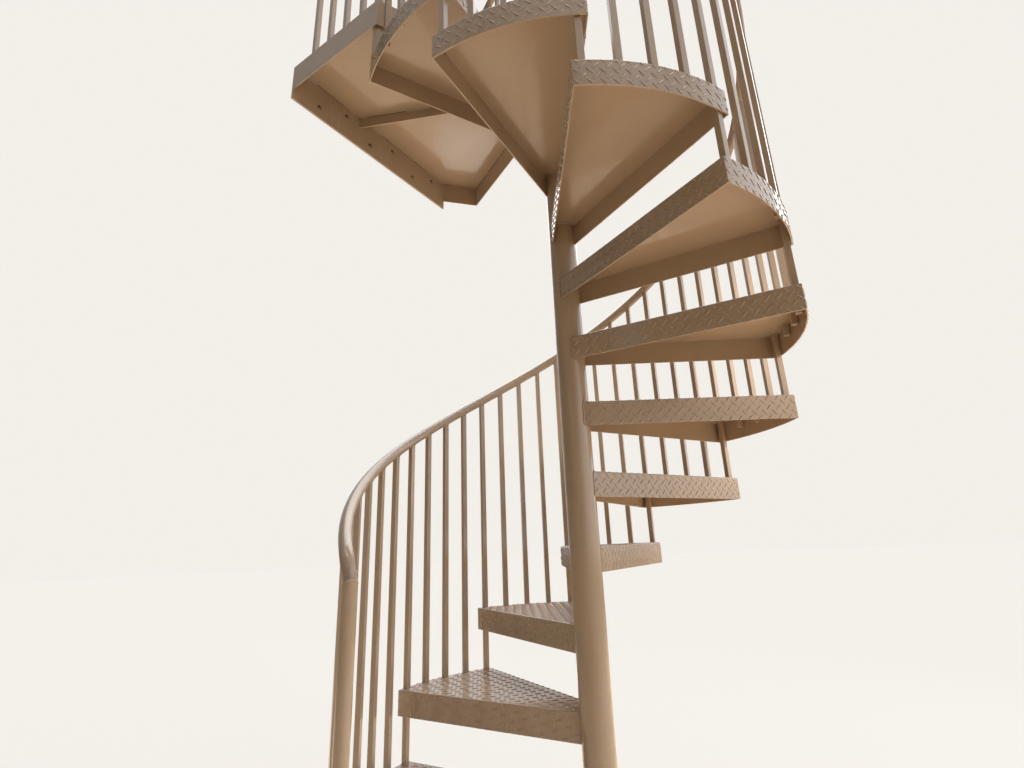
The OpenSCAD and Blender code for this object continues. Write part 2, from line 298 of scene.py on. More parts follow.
# where one lug of each plate lies, outwards along the rear edge and across from it, and on
# each arc strip; the pattern runs on over both folds
plate_lay = {3: (0.0208, 0.0101), 4: (0.0061, 0.0094), 5: (0.0140, 0.0161), 6: (0.0161, 0.0171),
             7: (0.0301, 0.0042), 8: (0.0284, 0.0220), 9: (0.0073, 0.0248)}
strip_lay = {7: (0.0147, 0.0294), 9: (0.0220, 0.0235), 10: (0.0280, 0.0301),
             11: (0.0087, 0.0126), 12: (0.0238, 0.0231)}

# the rolled plate mirrors its neighbours best, broken by the pattern on its far side; the
# lugs catch the light from above along their flanks
plate_enamel = enamel("gloss_enamel_on_tread_plate", 0.085, lattice_mm=0.05)
lug_enamel = enamel("gloss_enamel_on_lugs", 0.11, film="#B29A82", thin="#A99079", crest=True)


def tread_plate(bars):
    """The pan in its own axes, front radius along +X, top face at Z = 0. Its edge is one
    section (inset from the outline, depth) drawn along the nosing, the arc and the rear;
    bars lists the angles of the square holes."""
    shape = bmesh.new()
    fold, lip, root = 0.004, 0.0006, 0.0003
    section = [
        (fold * (1 - math.sin(q)), -fold * (1 - math.cos(q)))
        for q in (math.pi / 2 * k / 5 for k in range(6))
    ]
    section += [
        (0.0, lip - flange_h), (lip * 0.3, lip * 0.3 - flange_h), (lip, -flange_h),
        (plate_t - lip, -flange_h), (plate_t - lip * 0.3, lip * 0.3 - flange_h),
        (plate_t, lip - flange_h), (plate_t, -plate_t - root), (plate_t + root, -plate_t),
    ]
    ease = 0.0012

    def outline(inset):
        """Outline moved in by inset, from the column round to the column."""
        r, front, back = stair_r - inset, nose_off - inset, rear_off - inset
        line = [Vector((math.sqrt(column_r ** 2 - front ** 2), front))]
        line.append(Vector((math.sqrt(r * r - front * front) - ease, front)))
        start = math.asin(front / r) - ease / r
        end = rear_az - math.asin(back / r) + ease / r
        for k in range(37):
            a = start + (end - start) * k / 36
            line.append(Vector((r * math.cos(a), r * math.sin(a))))
        line.append((math.sqrt(r * r - back * back) - ease) * rear_d - back * rear_n)
        line.append(math.sqrt(column_r ** 2 - back ** 2) * rear_d - back * rear_n)
        return line

    rings = [
        [shape.verts.new((p.x, p.y, z)) for p in outline(inset)] for inset, z in section
    ]
    for ring, after in zip(rings, rings[1:]):
        for k in range(len(ring) - 1):
            shape.faces.new((ring[k], after[k], after[k + 1], ring[k + 1]))

    def round_column(ring, z):
        """Points of the plate's edge on the column, from the rear back to the nosing."""
        a, b = (math.atan2(v.co.y, v.co.x) for v in (ring[-1], ring[0]))
        a -= 2 * math.pi * (a > b)
        return [
            shape.verts.new((column_r * math.cos(q), column_r * math.sin(q), z))
            for q in (a + (b - a) * k / 18 for k in range(1, 18))
        ]

    over = round_column(rings[0], 0.0)
    under = round_column(rings[-1], -plate_t)
    upper = [rings[0][-1], *over, rings[0][0]]
    lower = [rings[-1][-1], *under, rings[-1][0]]
    for k in range(len(upper) - 1):
        shape.faces.new((upper[k], upper[k + 1], lower[k + 1], lower[k]))
    shape.faces.new([ring[0] for ring in rings[::-1]])
    shape.faces.new([ring[-1] for ring in rings])

    holes = []
    for a in bars:
        out = Vector((math.cos(a), math.sin(a)))
        side = Vector((-out.y, out.x))
        square = [bar_r * out + bar / 2 * (x * out + y * side)
                  for x, y in ((-1, -1), (1, -1), (1, 1), (-1, 1))]
        pair = [[shape.verts.new((p.x, p.y, z)) for p in square] for z in (0.0, -plate_t)]
        holes.append((square, pair))
        for k in range(4):
            m = (k + 1) % 4
            shape.faces.new((pair[0][k], pair[0][m], pair[1][m], pair[1][k]))
    for level, ring, inner in ((0, rings[0], over), (1, rings[-1], under)):
        rim = ring + inner
        corners = list(rim)
        lines = [(k, (k + 1) % len(rim)) for k in range(len(rim))]
        for square, pair in holes:
            first = len(corners)
            corners += pair[level]
            lines += [(first + k, first + (k + 1) % 4) for k in range(4)]
        flat = delaunay_2d_cdt([v.co.xy for v in corners], lines, [], 1, 1e-7)
        for face in flat[2]:
            three = [corners[flat[3][k][0]] for k in face]
            middle = sum((v.co.xy for v in three), Vector((0, 0))) / 3
            if middle.length < column_r or any(inside(middle, square) for square, _ in holes):
                continue
            shape.faces.new(three)
    bmesh.ops.recalc_face_normals(shape, faces=shape.faces)
    return shape


def inside(p, square):
    """Whether p lies inside a square."""
    return all(
        (square[(k + 1) % 4] - square[k]).cross(p - square[k]) > 0 for k in range(4)
    )


def plate_map(piece, turn, level, lay=None, strip=None):
    """Gives a plate a flat map in metres that follows its pattern, for the dimples inside."""
    layer = piece.data.uv_layers.new(name="plate")
    back = Matrix.Rotation(-turn, 3, "Z")
    for face in piece.data.polygons:
        n = back @ face.normal
        for loop in face.loop_indices:
            p = back @ piece.data.vertices[piece.data.loops[loop].vertex_index].co
            p.z -= level
            if lay is None:
                uv = (p.x, p.y)
            elif abs(n.z) < 0.7 and abs(math.hypot(p.x, p.y) - stair_r) < 0.006:
                uv = (stair_r * math.atan2(p.y, p.x) - strip[0], p.z - strip[1])
            else:
                flat = Vector((p.x, p.y if abs(n.z) > 0.7 else nose_off - fold_loss - p.z))
                if abs(n.z) < 0.7 and n.y < 0.9:
                    flat = p.xy.dot(rear_d) * rear_d - (rear_off - fold_loss - p.z) * rear_n
                uv = (flat.dot(rear_d) - lay[0], flat.dot(rear_n) - lay[1])
            layer.data[loop].uv = uv


def lug_form():
    """One lug, a pointed ridge lying along its first axis: points and faces."""
    points, faces = [], []
    for s in (-0.0105, -0.0055, 0.0, 0.0055, 0.0105):
        t = (s / lug_half) ** 2
        foot = 0.0034 * (1 - t) ** 0.8
        crown = 0.0009 * (1 - t) ** 0.5
        high = lug_high * (1 - t * t)
        points += [(s, -foot, -lug_sunk), (s, -crown, high), (s, crown, high), (s, foot, -lug_sunk)]
    points += [(-lug_half, 0, -lug_sunk), (lug_half, 0, -lug_sunk)]
    for i in range(0, 16, 4):
        for a, b in ((0, 1), (1, 2), (2, 3), (3, 0)):
            faces.append((i + a, i + b, i + 4 + b, i + 4 + a))
    for a, b in ((0, 1), (1, 2), (2, 3), (3, 0)):
        faces.append((b, a, 20))
        faces.append((16 + a, 16 + b, 21))
    return points, faces


lug_points, lug_faces = lug_form()


def lug_field(shape, crest, span, limits, clear, place, phase, skew=0.0):
    """Covers one face of a plate with lugs. span is its box (u0, v0, u1, v1), limits gives
    the half planes (point, outward normal) that cut a lug at u, v, clear is a list of spots
    (u, v, radius) left free, and place turns (u, v, height) into a point of the stair. The
    rows lie at the angle skew to u, and one lug lies at phase, measured along the rows."""
    along = Vector((math.cos(skew), math.sin(skew)))
    across = Vector((-math.sin(skew), math.cos(skew)))
    ends = [Vector((u, v)) for u in (span[0], span[2]) for v in (span[1], span[3])]
    a_from, a_to = (f(p.dot(along) for p in ends) for f in (min, max))
    b_from, b_to = (f(p.dot(across) for p in ends) for f in (min, max))
    rows = []
    for half in (0, 1):
        for i in range(math.floor((a_from - phase[0]) / lug_pitch) - 1,
                       math.ceil((a_to - phase[0]) / lug_pitch) + 1):
            for j in range(math.floor((b_from - phase[1]) / lug_pitch) - 1,
                           math.ceil((b_to - phase[1]) / lug_pitch) + 1):
                at = (phase[0] + (i + half / 2) * lug_pitch) * along
                at += (phase[1] + (j + half / 2) * lug_pitch) * across
                rows.append((at.x, at.y, skew + math.radians(45 if half else -45)))
    for u, v, turn in rows:
        if any(math.hypot(u - a, v - b) < r for a, b, r in clear):
            continue
        planes = limits(u, v)
        depth = [(u - p[0]) * n[0] + (v - p[1]) * n[1] for p, n in planes]
        if depth and max(depth) > lug_half * 0.6:
            continue
        c, s = math.cos(turn), math.sin(turn)
        points = [Vector((u + c * x - s * y, v + s * x + c * y, z)) for x, y, z in lug_points]
        cuts = [
            (p, n) for p, n in planes
            if max((q.x - p[0]) * n[0] + (q.y - p[1]) * n[1] for q in points) > 0
        ]
        if cuts:
            one = bmesh.new()
            made = [one.verts.new(q) for q in points]
            for face in lug_faces:
                one.faces.new([made[k] for k in face])
            for p, n in cuts:
                cut = bmesh.ops.bisect_plane(
                    one, geom=one.verts[:] + one.edges[:] + one.faces[:], dist=1e-6,
                    plane_co=(p[0], p[1], 0), plane_no=(n[0], n[1], 0), clear_outer=True)
                rim = [e for e in cut["geom_cut"] if isinstance(e, bmesh.types.BMEdge)]
                if len(rim) > 2:
                    bmesh.ops.edgeloop_fill(one, edges=rim)
            points = [w.co.copy() for w in one.verts]
            one.verts.index_update()
            faces = [[w.index for w in f.verts] for f in one.faces]
            one.free()
            if len(faces) < 6:
                continue
        else:
            faces = lug_faces
        made = []
        for q in points:
            vertex = shape.verts.new(place(q.x, q.y, q.z))
            vertex[crest] = max(0.0, q.z) / lug_high
            made.append(vertex)
        for face in faces:
            shape.faces.new([made[k] for k in face])


def tread_lugs(turn, top, lay, strip):
    """All the lugs of a tread: top, nosing, rear and outer arc."""
    shape = bmesh.new()
    crest = shape.verts.layers.float.new("crest")
    spin = Matrix.Rotation(turn, 3, "Z")
    edge = 0.0045
    rear_p = -(rear_off - edge) * rear_n
    bars = []
    for i in range(5):
        a = math.radians(-i * step / 4)
        bars.append((bar_r * math.cos(a), bar_r * math.sin(a), 0.020))

    def top_limits(u, v):
        away = Vector((u, v)).normalized()
        return [
            ((0, nose_off - edge), (0, 1)),
            (rear_p, -rear_n),
            (away * (stair_r - edge), away),
            (away * (column_r + 0.005), -away),
            ((0.001, 0), (-1, 0)),
        ]

    def box_limits(u0, v0, u1, v1):
        return lambda u, v: [
            ((u0, 0), (-1, 0)), ((u1, 0), (1, 0)), ((0, v0), (0, -1)), ((0, v1), (0, 1))]

    lug_field(shape, crest, (0, -0.42, stair_r, nose_off), top_limits, bars,
              lambda u, v, h: spin @ Vector((u, v, top + h)), lay, rear_az)
    # nosing: the plate's front, folded down
    u0 = math.sqrt(column_r ** 2 - nose_off ** 2) + 0.006
    u1 = math.sqrt(stair_r ** 2 - nose_off ** 2) - 0.002
    crease = nose_off - fold_loss
    box = (u0, crease + edge, u1, crease + flange_h - 0.001)
    lug_field(shape, crest, box, box_limits(*box), [],
              lambda u, v, h: spin @ Vector((u, nose_off + h, top + crease - v)), lay, rear_az)
    # rear: the same the other way, with the rows along it
    u0 = math.sqrt(column_r ** 2 - rear_off ** 2) + 0.006
    u1 = math.sqrt(stair_r ** 2 - rear_off ** 2) - 0.002
    back = rear_off - fold_loss
    box = (u0, 0.001 - back - flange_h, u1, -back - edge)
    lug_field(shape, crest, box, box_limits(*box), [],
              lambda u, v, h: spin @ (
                  (u * rear_d - (rear_off + h) * rear_n).to_3d() + Vector((0, 0, top + v + back))),
              lay)
    # arc: the strip, with the rows along it
    u0 = stair_r * (rear_az - math.asin(rear_off / stair_r)) + 0.002
    u1 = stair_r * math.asin(nose_off / stair_r) - 0.002
    lug_field(shape, crest, (u0, -flange_h, u1, 0), box_limits(u0, 0.001 - flange_h, u1, -edge), [],
              lambda u, v, h: spin @ Vector((
                  (stair_r + h) * math.cos(u / stair_r), (stair_r + h) * math.sin(u / stair_r),
                  top + v)),
              strip)
    return shape


def tread_welds(turn, top):
    """Beads that hold a pan to the column, outside, inside and on top."""
    shape = bmesh.new()
    spin = Matrix.Rotation(turn, 3, "Z")

    def lay(points, radius):
        bead(shape, [spin @ Vector(p) + Vector((0, 0, top)) for p in points], radius)

    def at(radius, angle, z):
        return (radius * math.cos(angle), radius * math.sin(angle), z)

    nose_a = math.asin(nose_off / column_r)
    rear_a = rear_az - math.asin(rear_off / column_r)
    low = -flange_h + 0.002
    out_r, in_r = column_r + 0.0005, column_r + 0.001
    for a in (nose_a + 0.02, rear_a - 0.02):
        lay([at(out_r, a, low), at(out_r, a, -0.003)], 0.003)
    inner = [rear_a + 0.16 + (nose_a - rear_a - 0.27) * k / 14 for k in range(15)]
    lay([at(in_r, a, -plate_t - 0.001) for a in inner], 0.0034)
    for a in (inner[0], inner[-1]):
        lay([at(in_r, a, low + 0.006), at(in_r, a, -0.012)], 0.003)
    over = [rear_a + 0.02 + (nose_a - rear_a - 0.04) * k / 14 for k in range(15)]
    lay([at(out_r, a, 0.0) for a in over], 0.0028)
    return shape


for n in range(1, 13):
    node = f"tread_{n:02d}"
    turn = math.radians(first_az - (n - 1) * step)
    top = rise * n
    shape = tread_plate([-math.radians(step / 4) * i for i in range(4)])
    shape.transform(Matrix.Translation((0, 0, top)) @ Matrix.Rotation(turn, 4, "Z"))
    plate = new_piece(f"{node}_plate", shape, [plate_enamel])
    plate.modifiers.new("shading", "WEIGHTED_NORMAL")
    drift = random.Random(400 + n)
    spot = [(drift.uniform(0, lug_pitch), drift.uniform(0, lug_pitch)) for _ in range(2)]
    lay, strip = plate_lay.get(n, spot[0]), strip_lay.get(n, spot[1])
    plate_map(plate, turn, top, lay, strip)
    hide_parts(node)
    new_piece(f"{node}_lugs", tread_lugs(turn, top, lay, strip), [lug_enamel])
    new_piece(f"{node}_welds", tread_welds(turn, top), [weld_enamel])

# ---- Balusters ------------------------------------------------------------------------
# Solid 3/4 in square bars. Each is dropped through a square hole in the tread, or stands
# on the tread below at the nosing, and is welded to the rail's underside all round.
rail_r = 0.01905
rail_h = 0.915
slope = math.atan(rise / (math.pi * bar_r * step / 180))
tail_turn = 6.0

# on drawn bar the film lies over scale and mirrors least
bar_enamel = enamel("gloss_enamel_on_bar", 0.17, (4.0, 4.0, 0.6))


def rail_ring(shape, foot, turn, height, tilt, out=0.0, twist=0.0):
    """Bead round a bar's top, where it meets the underside of a tube height above foot; the
    tube may lie a little outside the bar and at an angle to it."""
    half = bar / 2 + 0.0006
    loop = []
    for a, b in (((-1, -1), (1, -1)), ((1, -1), (1, 1)), ((1, 1), (-1, 1)), ((-1, 1), (-1, -1))):
        for k in range(4):
            x = half * (a[0] + (b[0] - a[0]) * k / 4)
            y = half * (a[1] + (b[1] - a[1]) * k / 4)
            aside = (x - out) * math.cos(twist) + y * math.sin(twist)
            down = y * math.cos(twist) - (x - out) * math.sin(twist)
            z = height - down * math.tan(tilt)
            z -= math.sqrt(rail_r ** 2 - aside ** 2) / math.cos(tilt)
            loop.append((x, y, z - 0.0004))
    spin = Matrix.Rotation(turn, 3, "Z")
    bead(shape, [spin @ Vector(p) + foot for p in loop], 0.0021, closed=True)


def tread_joint(shape, foot, turn, z):
    """Bead round a bar where it meets a plate."""
    half = bar / 2 + 0.0004
    spin = Matrix.Rotation(turn, 3, "Z")
    corners = [(-half, -half), (half, -half), (half, half), (-half, half)]
    bead(shape, [spin @ Vector((x, y, z)) + foot for x, y in corners], 0.0018, closed=True)


for n in range(1, 13):
    node = f"balusters_{n:02d}"
    arrises(node, bar_enamel, 0.0009)
    welds = bmesh.new()
    for i in range(4):
        turn = math.radians(first_az - (n - 1) * step - i * step / 4)
        foot = Vector((bar_r * math.cos(turn), bar_r * math.sin(turn), rise * n))
        if n == 1 and i == 0:
            out = bar_r / math.cos(math.radians(tail_turn)) - bar_r
            rail_ring(welds, foot, turn, rail_h, slope, out=out, twist=-math.radians(tail_turn))
        else:
            rail_ring(welds, foot, turn, rail_h + rise * i / 4, slope)
        tread_joint(welds, foot, turn, -rise if i == 0 and n > 1 else -plate_t - 0.0005)
    new_piece(f"{node}_welds", welds, [weld_enamel])

# ---- Newel and handrail ---------------------------------------------------------------
# A 1 1/2 in tube rolled to the stair's helix. Its end, which the rolls leave straight, is
# mitred to an upright newel of the same tube that stands on its own bolted foot.
rail_tail = 0.135
foot_t = 0.008
foot_pitch = 0.070
front_az = math.radians(first_az)
post = Vector((bar_r * math.cos(front_az), bar_r * math.sin(front_az), 0))

# hands keep the rail's film bright, so that one long highlight follows its curve
rail_enamel = enamel("gloss_enamel_on_rail_tube", 0.1, (1.5, 1.5, 1.5))


def rail_frame(a):
    """Point, direction and outward radius of the rail, a degrees up the climb from the first
    tread's front."""
    az = math.radians(first_az - a)
    at = Vector((bar_r * math.cos(az), bar_r * math.sin(az), rise + rail_h + rise * a / step))
    along = Vector((math.sin(az) * math.cos(slope), -math.cos(az) * math.cos(slope),
                    math.sin(slope)))
    return at, along, Vector((math.cos(az), math.sin(az), 0))


tail_at, tail_along, tail_out = rail_frame(tail_turn)
newel_top = tail_at - tail_along * (rail_tail / math.cos(slope))
mitre = (tail_along + Vector((0, 0, 1))).normalized()


def handrail():
    """The rolled tube, its foot slid to the mitre and its head to the landing post."""
    shape = bmesh.new()
    sides, steps = 40, 240
    rings = []
    for i in range(-1, steps + 1):
        at, along, out = rail_frame(tail_turn + (step * 12 - tail_turn) * max(0, i) / steps)
        up = along.cross(out)
        ring = []
        for k in range(sides):
            q = 2 * math.pi * (k + 0.5) / sides
            p = at + rail_r * (math.cos(q) * out + math.sin(q) * up)
            if i == -1:
                p += along * ((newel_top - p).dot(mitre) / along.dot(mitre))
            if i == steps:
                e, f = (p - post).xy, along.xy
                qa, qb, qc = f.dot(f), 2 * e.dot(f), e.dot(e) - rail_r ** 2
                p += along * ((-qb - math.sqrt(max(0.0, qb * qb - 4 * qa * qc))) / (2 * qa))
            ring.append(shape.verts.new(p))
        rings.append(ring)
    skin(shape, rings)
    shape.faces.new(rings[0][::-1])
    head = shape.verts.new(sum((v.co for v in rings[-1]), Vector()) / sides)
    for k in range(sides):
        shape.faces.new((rings[-1][k], rings[-1][(k + 1) % sides], head))
    bmesh.ops.recalc_face_normals(shape, faces=shape.faces)
    return shape


rail = new_piece("handrail_tube", handrail(), [rail_enamel])
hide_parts("handrail")
arrises("newel_post", rail_enamel, 0.0006)
arrises("newel_foot", plate_enamel, 0.001)

welds = bmesh.new()
seam = []
for k in range(32):
    q = 2 * math.pi * k / 32
    p = newel_top + rail_r * (math.cos(q) * tail_out + math.sin(q) * tail_along.cross(tail_out))
    p += tail_along * ((newel_top - p).dot(mitre) / tail_along.dot(mitre))
    seam.append(newel_top + (p - newel_top) * 0.985)
bead(welds, seam, 0.0012, closed=True)
newel_foot = Vector((newel_top.x, newel_top.y, foot_t))
bead(welds, [newel_foot + rail_r * p for p in circle[::2]], 0.003, closed=True)
new_piece("newel_welds", welds, [weld_enamel])

# ---- Landing --------------------------------------------------------------------------
# A flat deck of tread plate on edge plates, a rib and a wall plate, all joined from below
# by short stitch welds. The wall plate's paint has run beside its first bolt.
deck_z = rise * 13
deck_t = 0.005
wall_y = 0.806
ledger_t = 0.008
ledger_y = wall_y - ledger_t
skirt_h = 0.112
far_az = math.radians(first_az - 90)
far_d = Vector((math.cos(far_az), math.sin(far_az)))
far_n = Vector((-math.sin(far_az), math.cos(far_az)))
far_corner = stair_r * far_d
wall_corner = Vector((0.212, ledger_y))
cham_d = (wall_corner - far_corner).normalized()
cham_n = Vector((-cham_d.y, cham_d.x))
nose_d = Vector((math.cos(front_az), math.sin(front_az)))
nose_n = Vector((-nose_d.y, nose_d.x))
side_x = (math.sqrt(stair_r ** 2 - nose_off ** 2) * nose_d + nose_off * nose_n).x
rib_az = math.radians(first_az - 39)
rib_d = Vector((math.cos(rib_az), math.sin(rib_az)))
rib_n = Vector((-rib_d.y, rib_d.x))
rib_h = 0.050
rib_half = 0.003

# on plain plate the film is a little duller than on the rolled one
flat_enamel = enamel("gloss_enamel_on_flat_plate", 0.14, (3.0, 3.0, 0.8))

plate_map(arrises("landing_deck", plate_enamel, 0.0009), 0.0, deck_z)
for name in ("landing_skirt", "landing_rib", "ledger_plate"):
    arrises(name, flat_enamel, 0.0008)

lugs = bmesh.new()
crest = lugs.verts.layers.float.new("crest")
keep_off = [(post.x, post.y, 0.03)]


def deck_limits(u, v):
    away = Vector((u, v)).normalized()
    rim = 0.003
    return [
        (far_n * rim, -far_n),
        (far_corner + rim * cham_n, -cham_n),
        ((0, wall_y - rim), (0, 1)),
        ((side_x + rim, 0), (-1, 0)),
        (nose_n * (nose_off - rim), nose_n),
        (away * (column_r + 0.005), -away),
    ]


guard_inset = plate_t + bar / 2 + 0.011
wall_flange_t = 0.006


def cross_point(p, d, q, e):
    """Crossing of the line through p along d with the line through q along e."""
    den = d.x * e.y - d.y * e.x
    w = q - p
    return p + d * ((w.x * e.y - w.y * e.x) / den)


guard_far = cross_point(guard_inset * far_n, far_d, far_corner + guard_inset * cham_n, cham_d)
guard_wall = cross_point(far_corner + guard_inset * cham_n, cham_d,
                         Vector((0, wall_y - wall_flange_t)), Vector((1, 0)))


def along_run(p, q, count):
    """Places and directions of count bars evenly spaced between p and q."""
    return [(p + (q - p) * i / (count + 1), math.atan2(q.y - p.y, q.x - p.x))
            for i in range(1, count + 1)]


side_bars = along_run(post.xy, Vector((post.x, wall_y)), 4)
far_bars = along_run(guard_inset * far_n + 0.025 * far_d, guard_far + 0.055 * far_d, 7)
far_bars += along_run(guard_far, guard_wall, 1)
keep_off += [(p.x, p.y, 0.021) for p, _ in side_bars + far_bars]
lug_field(lugs, crest, (side_x, 0, 0.36, wall_y), deck_limits, keep_off,
          lambda u, v, h: Vector((u, v, deck_z + h)), (0.011, 0.007))
new_piece("landing_deck_lugs", lugs, [lug_enamel])

welds = bmesh.new()
under = deck_z - deck_t


def stitches(start, along, radius, *spans):
    """Short beads under the deck, on the line through start, between the given distances."""
    for a, b in spans:
        bead(welds, [(*(start + along * d), under) for d in (a, b)], radius)


stitches(Vector((0, ledger_y)), Vector((1, 0)), 0.0052, (-0.640, -0.590), (-0.427, -0.362),
         (-0.292, -0.235), (-0.060, -0.020), (0.075, 0.200))
for side in (-1, 1):
    flank = side * rib_half * rib_n
    stitches(flank, rib_d, 0.0048, (0.845, 0.868), (0.550, 0.660), (0.300, 0.370), (0.060, 0.110))
    x = (rib_d * (ledger_y / rib_d.y) + flank).x
    bead(welds, [(x, ledger_y, under - 0.004), (x, ledger_y, under - rib_h)], 0.0046)
stitches(far_corner + cham_n * plate_t, cham_d, 0.0046, (0.006, 0.140))
stitches(far_n * plate_t, far_d, 0.0046, (0.604, 0.620), (0.470, 0.490), (0.300, 0.350),
         (0.080, 0.140))
stitches(nose_n * (nose_off - plate_t), nose_d, 0.0046, (0.08, 0.14), (0.30, 0.36), (0.52, 0.58))
side_in = side_x + plate_t
stitches(Vector((side_in, 0)), Vector((0, 1)), 0.0046, (0.42, 0.48), (0.60, 0.66), (0.74, 0.79))
inner_far = cross_point(plate_t * far_n, far_d, far_corner + plate_t * cham_n, cham_d)
bead(welds, [(*inner_far, under - 0.003), (*inner_far, deck_z - skirt_h + 0.004)], 0.0036)
new_piece("landing_stitch_welds", welds, [weld_enamel])

# the joints between the stitches stay open: a dull dark strip in each is painted shade, the thin
# dark line of the gap's shadow
joint_shade_finish, tree, joint_shade_bsdf = new_material("painted_shade_in_open_joint")
joint_shade_bsdf.inputs["Base Color"].default_value = linear("#2A1D14")
joint_shade_bsdf.inputs["Roughness"].default_value = 0.9
gaps = bmesh.new()
beside = (rib_half + 0.0002) * rib_n
for p, q in (
    ((side_in, ledger_y), (wall_corner.x - 0.004, ledger_y)),
    (rib_d * 0.058 + beside, rib_d * (ledger_y / rib_d.y) + beside),
    (rib_d * 0.058 - beside, rib_d * (ledger_y / rib_d.y) - beside),
    (far_d * 0.060 + far_n * plate_t, inner_far),
    (inner_far, wall_corner + cham_n * plate_t),
):
    bead(gaps, [(p[0], p[1], under), (q[0], q[1], under)], 0.0011, ripple=0.04)
new_piece("landing_joint_shade_strips", gaps, [joint_shade_finish])

# runs of paint down the wall plate: x, start and end below the deck, half width
runs = bmesh.new()
for x, top_z, low_z, size in (
    (-0.530, -0.060, -0.148, 0.0011), (-0.517, -0.016, -0.105, 0.0010),
    (-0.505, -0.040, -0.1525, 0.0013), (-0.496, -0.008, -0.128, 0.0010),
    (-0.486, -0.020, -0.1525, 0.0014), (-0.471, -0.012, -0.140, 0.0010),
    (-0.465, -0.030, -0.1530, 0.0015),
):
    steps = 26
    line, sizes = [], []
    for k in range(steps + 1):
        t = k / steps
        z = under + top_z + (low_z - top_z) * t
        line.append(Vector((x + 0.0006 * math.sin(7 * t + 90 * x), ledger_y, z)))
        sizes.append(size * (0.35 + 0.5 * t + (0.9 if t > 0.95 else 0.0)))
    rings = [
        [runs.verts.new(p + s * Vector((math.cos(q), 0.45 * math.sin(q), 0)))
         for q in (2 * math.pi * m / 8 for m in range(8))]
        for p, s in zip(line, sizes)
    ]
    skin(runs, rings)
    runs.faces.new(rings[0])
    runs.faces.new(rings[-1][::-1])
bmesh.ops.recalc_face_normals(runs, faces=runs.faces)
new_piece("ledger_paint_runs", runs, [weld_enamel])

# ---- Landing guard --------------------------------------------------------------------
# Level tubes of the rail's size round the landing's open edges, on square bars welded to
# the deck, carried by the landing post, the column and a round flange at each far end.
guard_h = 1.067
guard_z = deck_z + guard_h - rail_r

for name in ("landing_post", "guard_rail_side", "guard_rail_far", "guard_rail_chamfer"):
    arrises(name, rail_enamel, 0.0006)
arrises("wall_flanges", flat_enamel, 0.0012, 3)
for name in ("guard_balusters_side", "guard_balusters_far"):
    arrises(name, bar_enamel, 0.0009)

welds = bmesh.new()
for p, az in side_bars + far_bars:
    foot = Vector((p.x, p.y, deck_z))
    tread_joint(welds, foot, az + math.pi / 2, 0.0)
    rail_ring(welds, foot, az + math.pi / 2, guard_z - deck_z, 0.0)
for z, radius in ((rise * 12, 0.0026), (deck_z, 0.0022), (under, 0.0022)):
    bead(welds, [post + rail_r * p + Vector((0, 0, z)) for p in circle[::2]], radius, closed=True)
bead(welds, [column_r * p + Vector((0, 0, deck_z)) for p in circle], 0.003, closed=True)
new_piece("guard_welds", welds, [weld_enamel])

# ---- Fixings --------------------------------------------------------------------------
# Zinc-plated anchor bolts with washers on the two feet and the round flanges, and the wall
# plate's bolts, run in flush with its face and painted over; their holes are dark with painted
# shade.
# a bright, slightly blue metal with a dull bloom
zinc, tree, metal = new_material("zinc_plated_steel")
metal.inputs["Metallic"].default_value = 1.0
place = add(tree, "TexCoord").outputs["Object"]
bloom = add(tree, "TexNoise", {"Vector": place}, {"Scale": 420.0, "Detail": 4.0})
tint = add(tree, "Mix", {0: bloom.outputs[0]}, {6: linear("#B9BBBD"), 7: linear("#8E8F90")},
           data_type="RGBA")
tree.links.new(tint.outputs[2], metal.inputs["Base Color"])
matt = add(tree, "MapRange", {0: bloom.outputs[0]}, {3: 0.28, 4: 0.5})
tree.links.new(matt.outputs[0], metal.inputs["Roughness"])
grain = add(tree, "Bump", {"Height": bloom.outputs[0]}, {"Strength": 0.6, "Distance": 0.00004})
tree.links.new(grain.outputs[0], metal.inputs["Normal"])


def turned(shape, profile, sides, at, axis, turn=0.0):
    """A form of revolution, or a prism with few sides: profile is (radius, height) pairs."""
    lay = Vector((0, 0, 1)).rotation_difference(Vector(axis)).to_matrix()
    rings = []
    for r, h in profile:
        rings.append([
            shape.verts.new(Vector(at) + lay @ Vector((r * math.cos(q), r * math.sin(q), h)))
            for q in (turn + 2 * math.pi * k / sides for k in range(sides))
        ])
    skin(shape, rings)
    shape.faces.new(rings[0][::-1])
    shape.faces.new(rings[-1])


def anchor(shape, at, axis, across, turn):
    """Threaded stud, hexagon nut and washer on a face at the point at; across is the nut's
    width over its flats."""
    r, nut_top, thread = across / math.sqrt(3), across * 0.6, 0.0016
    washer_r, washer_t = across * 0.62, 0.0026
    turned(shape, [(washer_r, 0.0), (washer_r, washer_t - 0.0004), (across * 0.58, washer_t)],
           28, at, axis)
    turned(shape, [(r * 0.9, washer_t), (r, washer_t + 0.001), (r, across * 0.52),
                   (r * 0.88, nut_top)], 6, at, axis, turn)
    stud = across * 0.31
    profile = [(stud, -0.004)]
    for k in range(7):
        z = nut_top + k * thread
        profile += [(stud, z), (stud * 0.9, z + thread / 2)]
    profile += [(stud * 0.8, nut_top + 0.012)]
    turned(shape, profile, 20, at, axis)


